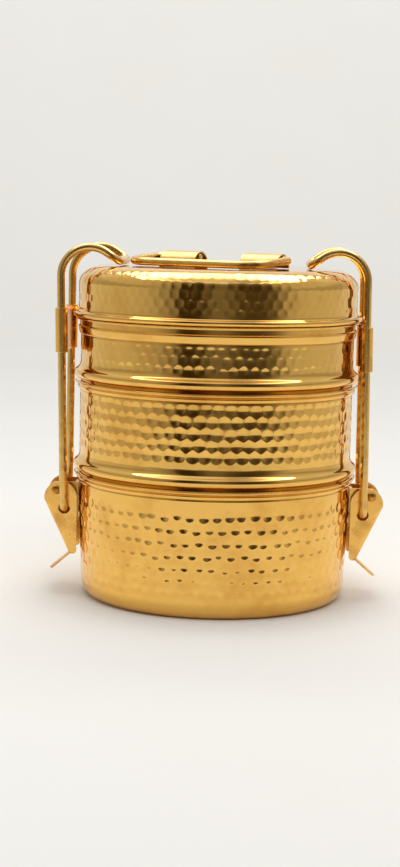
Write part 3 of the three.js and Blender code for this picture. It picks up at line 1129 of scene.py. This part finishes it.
    def lever(self) -> None:
        """Cuts and folds the lever: two cheeks, the web on their outer slope and the thumb tab."""
        pivot = Vector((abs(self.pivot.x), self.pivot.z))
        foot = Vector((abs(self.foot.x), self.foot.z))
        inner = BODY_RADIUS + self.wall_gap
        top = (pivot.x - self.cheek_inset, pivot.y - self.cheek_drop)
        toe = Vector((inner + self.lever_toe, pivot.y - self.lever_reach))
        cheek = ring(top, top[0] - inner, -12, 180, 48)
        third = self.lever_toe / 3
        outline = [(toe.x, toe.y), *cheek, (inner, toe.y + third), (inner + third, toe.y)]
        holes = [
            ring((pivot.x, pivot.y), self.pivot_hole, 0, 345, 23),
            ring((foot.x, foot.y - self.hole_drop), self.hole_radius, 0, 350, 35),
        ]
        half = self.lever_width / 2
        tab_half = self.tab_width / 2
        bm = bmesh.new()
        for y in (-half, half):
            filled(bm, [[Vector((x, y, z)) for x, z in loop] for loop in (outline, *holes)])
        across = (-half, -tab_half, tab_half, half)
        rows = [[bm.verts.new((x, y, z)) for y in across] for x, z in (cheek[0], (toe.x, toe.y))]
        for a, b, c, d in zip(rows[0], rows[0][1:], rows[1][1:], rows[1]):
            bm.faces.new((a, b, c, d))
        fall = math.radians(self.tab_angle)
        tab_edge = bm.edges.get(rows[1][1:3])
        ends = pulled(bm, [tab_edge], Vector((math.cos(fall), 0, -math.sin(fall))) * self.tab_length)
        rounded(bm, ends, self.tab_corner, 6, "VERTICES")
        close(bm)
        shortest = self.tab_width * 0.9
        folds = [
            edge for edge in bm.edges
            if len(edge.link_faces) == 2 and edge.calc_length() > shortest and edge.calc_face_angle(0.0) > 0.5
        ]
        rounded(bm, folds, self.fold_radius, 4)
        self.point_out(bm)
        word = self.side.word
        piece = to_piece(self.placed(bm), f"folded_lever_{word}", ROLLED_SHEET, 35)
        fit(finish_sheet(piece, self.lever_sheet, 0.15), f"{word}_lever", "sheet_brass", f"lever_{word}")

    @staticmethod
    def point_out(bm: bmesh.types.BMesh) -> None:
        """Turns the open lever's faces outwards.

        Args:
            bm: The folded surface on positive X.
        """
        bmesh.ops.recalc_face_normals(bm, faces=bm.faces)
        widest = max(bm.faces, key=lambda face: abs(face.calc_center_median().y))
        if widest.normal.y * widest.calc_center_median().y < 0:
            bmesh.ops.reverse_faces(bm, faces=bm.faces)

    def rivet(self) -> None:
        """Turns the pivot rivet, with a domed head on each cheek."""
        under = self.lever_width / 2 + 0.3
        head = Profile(0, -under - self.rivet_height)
        head.arc((0, -under), (self.rivet_head, self.rivet_height), -80, 0, 8)
        head.line(self.rivet_radius, -under).line(self.rivet_radius, under)
        head.arc((0, under), (self.rivet_head, self.rivet_height), 0, 80, 8)
        head.line(0, under + self.rivet_height)
        bm = spun(head, 32)
        turned(bm, math.pi / 2, "X")
        bmesh.ops.translate(bm, vec=self.pivot, verts=bm.verts)
        word = self.side.word
        made = to_piece(bm, f"lever_rivet_{word}", PEENED_RIVET, 50)
        fit(made, "base", "rivet_brass", f"pivot_rivet_{word}")

    def bracket(self) -> None:
        """Takes the bracket's solid over and breaks its edges, and turns its two studs."""
        word = self.side.word
        bm = bmesh.new()
        bm.from_mesh(FRAME["nodes"][f"bracket_{word}"].data)
        bmesh.ops.scale(bm, vec=(1 / MM, 1 / MM, 1 / MM), verts=bm.verts)
        bmesh.ops.remove_doubles(bm, verts=bm.verts, dist=1e-3)
        bmesh.ops.dissolve_limit(
            bm, angle_limit=math.radians(1), use_dissolve_boundaries=False, verts=bm.verts, edges=bm.edges,
            delimit=set(),
        )
        piece = to_piece(bm, f"pivot_bracket_{word}", ROLLED_SHEET, 40)
        fit(finish_sheet(piece, 0, 0.2), "base", "sheet_brass", f"bracket_{word}")
        for level in ("upper", "lower"):
            node = f"bracket_stud_{word}_{level}"
            box = node_box(node)
            length = box.high.x - box.low.x
            radius = (box.high.z - box.low.z) / 2
            shank = radius / 2
            stud = Profile(0, 0).line(radius * 0.9, 0).curve((radius, 0), (radius, 0.3), 3)
            stud.line(radius, 0.67).line(shank, 0.67).line(shank, length - 1).line(radius, length - 1)
            stud.arc((0, length - 1), (radius, 1), 5, 80, 7).line(0, length)
            bm = spun(stud, 32)
            turned(bm, math.pi / 2, "Y")
            bmesh.ops.translate(bm, vec=(abs(box.centre.x) - length / 2, 0, box.centre.z), verts=bm.verts)
            made = to_piece(self.placed(bm), f"stud_{word}_{level}", PEENED_RIVET, 50)
            fit(made, "base", "rivet_brass", node)

    def build(self) -> None:
        """Builds every piece of this side."""
        self.bracket()
        self.rivet()
        self.lever()
        self.wire()
        self.keeper()


# --------------------------------------------------------------------------------------------------
# Handle on the lid


@dataclass
class Handle:
    """The flat bail and the two half-round saddles that hold its ends."""

    turn: float = -30.0
    rod_radius: float = 2.0
    half_length: float = 38.29
    depth: float = 33.0
    end_bend: float = 3.5
    front_bend: float = 12.0
    end_inside: float = 13.29
    front_drop: float = 2.1
    saddle_centre: float = 23.79
    saddle_length: float = 21.0
    saddle_radius: float = 7.2
    saddle_sheet: float = 0.8
    saddle_gap: float = 0.3
    centre: Vector = field(init=False)

    def __post_init__(self) -> None:
        """Takes the hinge's centre from the frame."""
        self.centre = joint_place("bail_hinge")

    def placed(self, bm: bmesh.types.BMesh, level: float) -> bmesh.types.BMesh:
        """Turns a mesh built along X to the hinge line.

        Args:
            bm: Mesh with the hinge line's centre at its origin.
            level: Level of its origin.

        Returns:
            The same mesh.
        """
        turned(bm, math.radians(self.turn), "Z")
        bmesh.ops.translate(bm, vec=(self.centre.x, self.centre.y, level), verts=bm.verts)
        return bm

    def bail(self) -> None:
        """Bends the bail: two ends in line, and a wide C in front of them."""
        wire = WireBender(self.rod_radius, ALONG * self.end_inside, ALONG)
        side = self.depth - self.end_bend - self.front_bend
        wire.feed(self.half_length - self.end_bend - self.end_inside, 3)
        wire.bend(self.end_bend, 90, -ACROSS).feed(side, 3).bend(self.front_bend, 90, -ALONG)
        wire.feed(2 * (self.half_length - self.front_bend), 6)
        wire.bend(self.front_bend, 90, ACROSS).feed(side, 3).bend(self.end_bend, 90, ALONG)
        wire.feed(self.half_length - self.end_bend - self.end_inside, 3)
        bm = wire.cut()
        turned(bm, math.asin(self.front_drop / self.depth), "X")
        piece = to_piece(self.placed(bm, self.centre.z), "wire_bail", DRAWN_WIRE, 50)
        fit(piece, "bail", "wire_brass", "bail_handle")

    def saddle(self, side: Side) -> None:
        """Rolls one saddle from sheet.

        Args:
            side: Which end of the hinge line it holds.
        """
        top = node_box("lid").high.z
        bm = bmesh.new()
        start = side.value * self.saddle_centre - self.saddle_length / 2
        arch = ring((0, 0), self.saddle_radius, 0, 180, 32)
        _, edges = chain(bm, [(start, y, z) for y, z in arch])
        pulled(bm, edges, ALONG * self.saddle_length)
        bmesh.ops.recalc_face_normals(bm, faces=bm.faces)
        bm.faces.ensure_lookup_table()
        middle = max(bm.faces, key=lambda face: face.calc_center_median().z)
        if middle.normal.z < 0:
            bmesh.ops.reverse_faces(bm, faces=bm.faces)
        word = side.word
        piece = to_piece(self.placed(bm, top + self.saddle_gap), f"rolled_saddle_{word}", RUBBED_SHEET, 35)
        fit(finish_sheet(piece, self.saddle_sheet, 0.15), "lid_assembly", "sheet_brass", f"saddle_{word}")

    def build(self) -> None:
        """Builds the bail and both saddles."""
        self.bail()
        for side in Side:
            self.saddle(side)


# --------------------------------------------------------------------------------------------------
# Studio


@dataclass(frozen=True)
class SoftPanel:
    """A soft box that lights the paper, kept out of the metal's reflections."""

    name: str
    place: tuple[float, float, float]
    aim: tuple[float, float, float]
    size: tuple[float, float]
    power: float
    tint: str

    def hang(self) -> None:
        """Makes the light, facing its aim."""
        light = bpy.data.lights.new(self.name, "AREA")
        light.shape = "RECTANGLE"
        light.size, light.size_y = self.size
        light.energy = self.power
        light.color = linear(self.tint)[:3]
        made = linked(self.name, light)
        made.location = self.place
        towards = Vector(self.aim) - Vector(self.place)
        made.rotation_euler = towards.to_track_quat("-Z", "Y").to_euler()
        made.visible_glossy = False


@dataclass
class Studio:
    """Pale table and sweep, soft light and the camera. Distances are in metres here."""

    sweep_back: float = 4.5
    sweep_front: float = -60.0
    sweep_half_width: float = 60.0
    sweep_height: float = 7.0
    sweep_bend: float = 2.7
    table: str = "F0F0EE"
    table_fibre: str = "EDEAE4"
    room: str = "F6F5F3"
    room_strength: float = 0.66
    wall_strength: float = 0.92
    # A glowing sheet round the front paints the room in the metal's reflections, dark in front and pale at the
    # sides; its low band also paints light and shade on the paper near the foot.
    dark_radius: float = 0.67
    dark_height: float = 1.0
    dark_foot: float = 0.28
    dark_reach: float = 140.0
    dark_colour: str = "3A2F20"
    # Degrees round from the front, or metres up, and how dark the unlit end is there
    dark_around: tuple[Point, ...] = (
        (-140, 0.0), (-105, 0.28), (-68, 0.38), (-42, 0.64), (-33, 0.8), (-24, 1.0), (-10, 0.93), (0, 0.84),
        (14, 0.92), (26, 0.97), (37, 0.94), (50, 0.72), (68, 0.38), (105, 0.28), (140, 0.0),
    )
    dark_up: tuple[Point, ...] = ((0.0, 0.1), (0.012, 0.35), (0.044, 0.95), (0.2, 1.0), (0.8, 0.9), (1.0, 0.1))
    # The same for a band of painted shade that runs all round partway up the sheet
    furniture_around: tuple[Point, ...] = (
        (-140, 0.0), (-112, 0.9), (-60, 1.0), (60, 1.0), (112, 0.9), (140, 0.0),
    )
    furniture_up: tuple[Point, ...] = (
        (0.0, 0.0), (0.12, 0.12), (0.20, 0.42), (0.30, 0.58), (0.55, 0.2), (1.0, 0.0),
    )
    # A glowing sheet over the table, seen only by the metal, paints its highlights and a cool reflection.
    ceiling: float = 1.1
    ceiling_half_width: float = 1.1
    ceiling_front: float = -0.9
    ceiling_back: float = 0.95
    window_light: float = 7.0
    # Cool tint of the painted reflection, which makes the highlights pale cream.
    sky: str = "EDEFFF"
    sky_light: float = 4.0
    # Metres across or along the sheet of painted highlights, and how bright its white patches or its cool glow
    # are there
    windows_across: tuple[Point, ...] = (
        (-1.1, 0.1), (-0.75, 0.9), (-0.5, 0.45), (-0.3, 0.7), (0.0, 0.45), (0.3, 1.0), (0.5, 0.9), (0.9, 0.5),
        (1.1, 0.1),
    )
    windows_along: tuple[Point, ...] = (
        (-0.9, 0.0), (0.05, 0.0), (0.22, 0.9), (0.5, 1.0), (0.75, 0.35), (0.95, 0.1),
    )
    sky_across: tuple[Point, ...] = (
        (-1.1, 0.25), (-0.75, 0.9), (-0.45, 0.4), (0.0, 0.3), (0.35, 0.32), (0.7, 0.9), (1.1, 0.25),
    )
    camera_place: tuple[float, float, float] = (0.0, -0.893, 0.194)
    camera_pitch: float = 7.1
    camera_roll: float = 1.3
    camera_yaw: float = 0.5
    lens: float = 72.7

    def build(self) -> None:
        """Sets up everything around the carrier."""
        view = bpy.context.scene.view_settings
        view.view_transform = "Standard"
        view.look = "None"
        self.surroundings()
        self.sweep()
        self.dark_end()
        self.skylight()
        for panel in (
            SoftPanel("table_softbox", (0.0, -0.02, 1.25), (0.0, 0.0, 0.0), (0.4, 0.4), 5.0, "FFFFFF"),
            SoftPanel("front_softbox", (0.25, -1.1, 1.3), (0.05, -0.1, 0.0), (0.8, 0.5), 4.5, "FFFFFF"),
            SoftPanel("sweep_softbox", (0.0, 3.0, 3.6), (0.0, 3.9, 0.6), (4.8, 1.5), 50.0, "FFFFFF"),
        ):
            panel.hang()
        self.camera()

    def surroundings(self) -> None:
        """Fills the room with even light."""
        world = bpy.data.worlds.new("pale_room")
        world.use_nodes = True
        background = world.node_tree.nodes["Background"]
        background.inputs["Color"].default_value = linear(self.room)
        background.inputs["Strength"].default_value = self.room_strength
        bpy.context.scene.world = world

    @staticmethod
    def stage_piece(bm: bmesh.types.BMesh, name: str, material: bpy.types.Material) -> bpy.types.Object:
        """Makes part of the stage.

        Args:
            bm: Its mesh in metres.
            name: Its name.
            material: What it is made of.

        Returns:
            The object.
        """
        made = mesh_object(bm, name, material)
        return made

    def sweep(self) -> None:
        """Makes the table and the backdrop in one curved sheet of matt paper."""
        paper = bpy.data.materials.new("matt_paper")
        paper.use_nodes = True
        tree = paper.node_tree
        shader = tree.nodes["Principled BSDF"]
        place = add_node(tree, "ShaderNodeTexCoord").outputs["Object"]
        fibre = add_node(tree, "ShaderNodeTexNoise", Vector=place, Scale=3.0, Detail=3.0).outputs["Fac"]
        colour = add_node(
            tree, "ShaderNodeMix", {"data_type": "RGBA"}, n0=fibre, n6=linear(self.table),
            n7=linear(self.table_fibre),
        ).outputs[2]
        tree.links.new(colour, shader.inputs["Base Color"])
        shader.inputs["Roughness"].default_value = 0.85
        shader.inputs["Specular IOR Level"].default_value = 0.2
        bm = bmesh.new()
        side = ((self.sweep_front, 0), (self.sweep_back, 0), (self.sweep_back, self.sweep_height))
        _, edges = chain(bm, [(-self.sweep_half_width, y, z) for y, z in side])
        pulled(bm, edges, ALONG * 2 * self.sweep_half_width)
        fold = [e for e in bm.edges if all(v.co.y == self.sweep_back and v.co.z == 0 for v in e.verts)]
        rounded(bm, fold, self.sweep_bend, 24)
        bmesh.ops.recalc_face_normals(bm, faces=bm.faces)
        for face in bm.faces:
            face.smooth = True
        self.stage_piece(bm, "paper_sweep", paper)

    def dark_end(self) -> None:
        """Stands a glowing sheet round the front that only polished metal sees: a painted reflection of a room
        that is dark in front and pale at the sides.
        """
        room_reflection_material, tree = self.glow_material("unlit_end")
        place = add_node(tree, "ShaderNodeTexCoord").outputs["Object"]
        split = add_node(tree, "ShaderNodeSeparateXYZ", Vector=place).outputs
        front = add_node(tree, "ShaderNodeMath", {"operation": "MULTIPLY"}, n0=split["Y"], n1=-1.0)
        turn = add_node(tree, "ShaderNodeMath", {"operation": "ARCTAN2"}, n0=split["X"], n1=front.outputs[0])
        reach = math.radians(self.dark_reach)
        around = (turn.outputs[0], -reach, reach)
        up = (split["Z"], 0.0, self.dark_height)
        shade, sides = (
            self.followed(tree, around, [(math.radians(degrees), level) for degrees, level in stops])
            for stops in (self.dark_around, self.furniture_around)
        )
        rise, band = (self.followed(tree, up, stops) for stops in (self.dark_up, self.furniture_up))
        unlit = add_node(tree, "ShaderNodeMath", {"operation": "MULTIPLY"}, n0=shade, n1=rise)
        # A band of painted shade partway up the sheet, which darkens the metal's reflections at the sides.
        painted_side_shade = add_node(tree, "ShaderNodeMath", {"operation": "MULTIPLY"}, n0=sides, n1=band)
        share = add_node(
            tree, "ShaderNodeMath", {"operation": "MAXIMUM"}, n0=unlit.outputs[0], n1=painted_side_shade.outputs[0],
        ).outputs[0]
        room = [channel * self.wall_strength for channel in linear(self.room)[:3]] + [1.0]
        colour = add_node(
            tree, "ShaderNodeMix", {"data_type": "RGBA"}, n0=share, n6=room, n7=linear(self.dark_colour),
        ).outputs[2]
        glow = add_node(tree, "ShaderNodeEmission", Color=colour, Strength=1.0)
        tree.links.new(glow.outputs["Emission"], tree.nodes["Material Output"].inputs["Surface"])
        start = Vector((math.sin(-reach), -math.cos(reach), 0)) * self.dark_radius
        bands = (("unlit_end_low", 0.001, self.dark_foot), ("unlit_end_high", self.dark_foot, self.dark_height))
        for name, bottom, top in bands:
            bm = bmesh.new()
            verts, edges = chain(bm, [start + UP * level for level in (bottom, top)])
            bmesh.ops.spin(
                bm, geom=verts + edges, cent=ORIGIN, axis=UP, dvec=ORIGIN, angle=2 * reach, steps=96,
                use_merge=False, use_duplicate=False,
            )
            wall = self.stage_piece(bm, name, room_reflection_material)
            self.only_for_metal(wall)
            # The low band is also seen by the paper: its pale sides paint light and its dark front paints shade
            # on the paper round the foot.
            wall.visible_diffuse = top == self.dark_foot

    def skylight(self) -> None:
        """Hangs a wide glowing sheet over the table that only polished metal sees: painted highlights, cool in
        front and with bright white patches behind.
        """
        highlight_material, tree = self.glow_material("skylight")
        place = add_node(tree, "ShaderNodeTexCoord").outputs["Object"]
        split = add_node(tree, "ShaderNodeSeparateXYZ", Vector=place).outputs
        half, front, back = self.ceiling_half_width, self.ceiling_front, self.ceiling_back
        across, along = (split["X"], -half, half), (split["Y"], front, back)
        highlight_spots = add_node(
            tree, "ShaderNodeMath", {"operation": "MULTIPLY"},
            n0=self.followed(tree, across, self.windows_across),
            n1=self.followed(tree, along, self.windows_along),
        ).outputs[0]
        glows = []
        for tint, strength, light in (
            ("FFFFFF", highlight_spots, self.window_light),
            (self.sky, self.followed(tree, across, self.sky_across), self.sky_light),
        ):
            power = add_node(tree, "ShaderNodeMath", {"operation": "MULTIPLY"}, n0=strength, n1=light)
            glows.append(
                add_node(tree, "ShaderNodeEmission", Color=linear(tint), Strength=power.outputs[0]).outputs[0]
            )
        both = add_node(tree, "ShaderNodeAddShader", n0=glows[0], n1=glows[1]).outputs[0]
        tree.links.new(both, tree.nodes["Material Output"].inputs["Surface"])
        corners = ((-half, front), (half, front), (half, back), (-half, back))
        bm = bmesh.new()
        bm.faces.new([bm.verts.new((x, y, self.ceiling)) for x, y in corners])
        self.only_for_metal(self.stage_piece(bm, "skylight", highlight_material))

    @staticmethod
    def glow_material(name: str) -> tuple[bpy.types.Material, bpy.types.NodeTree]:
        """Starts a material that only gives light.

        Args:
            name: Name of the material.

        Returns:
            The material and its empty tree.
        """
        made = bpy.data.materials.new(name)
        made.use_nodes = True
        made.node_tree.nodes.remove(made.node_tree.nodes["Principled BSDF"])
        return made, made.node_tree

    @staticmethod
    def only_for_metal(piece: bpy.types.Object) -> None:
        """Leaves a piece of the stage visible only in reflections.

        Args:
            piece: The piece.
        """
        piece.visible_camera = False
        piece.visible_diffuse = False
        piece.visible_shadow = False

    @staticmethod
    def followed(
        tree: bpy.types.NodeTree, place: tuple[bpy.types.NodeSocket, float, float], stops: Sequence[Point],
    ) -> bpy.types.NodeSocket:
        """Makes a level that follows a run of stops along a coordinate.

        Args:
            tree: Where the nodes go.
            place: The coordinate, and its value at the first stop and at the last.
            stops: Values of the coordinate and the levels there, in order.

        Returns:
            The level.
        """
        value, low, high = place
        share = add_node(tree, "ShaderNodeMapRange", Value=value, From_Min=low, From_Max=high)
        node = add_node(tree, "ShaderNodeFloatCurve", Value=share.outputs["Result"])
        spots = [((at - low) / (high - low), level) for at, level in stops]
        points = node.mapping.curves[0].points
        points[0].location = spots[0]
        points[-1].location = spots[-1]
        for spot in spots[1:-1]:
            points.new(*spot)
        node.mapping.update()
        return node.outputs["Value"]

    def camera(self) -> None:
        """Sets the camera."""
        data = bpy.data.cameras.new("camera")
        data.lens = self.lens
        data.clip_start = 0.01
        made = linked("camera", data)
        turn = (
            Matrix.Rotation(math.radians(self.camera_yaw), 4, "Z")
            @ Matrix.Rotation(math.radians(90 - self.camera_pitch), 4, "X")
            @ Matrix.Rotation(math.radians(self.camera_roll), 4, "Z")
        )
        made.matrix_world = Matrix.Translation(self.camera_place) @ turn
        bpy.context.scene.camera = made


def main() -> None:
    """Builds the carrier's looks and the studio, in order."""
    logging.basicConfig(level=logging.INFO, format="%(relativeCreated)6.0f ms %(name)s: %(message)s")
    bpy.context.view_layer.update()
    Studio().build()
    Vessels().build()
    Clip(Side.LEFT, lean_front=2.7, lean_back=-0.3).build()
    Clip(Side.RIGHT, lean_front=-1.7, lean_back=-1.0).build()
    Handle().build()


if __name__ == "__main__":
    main()
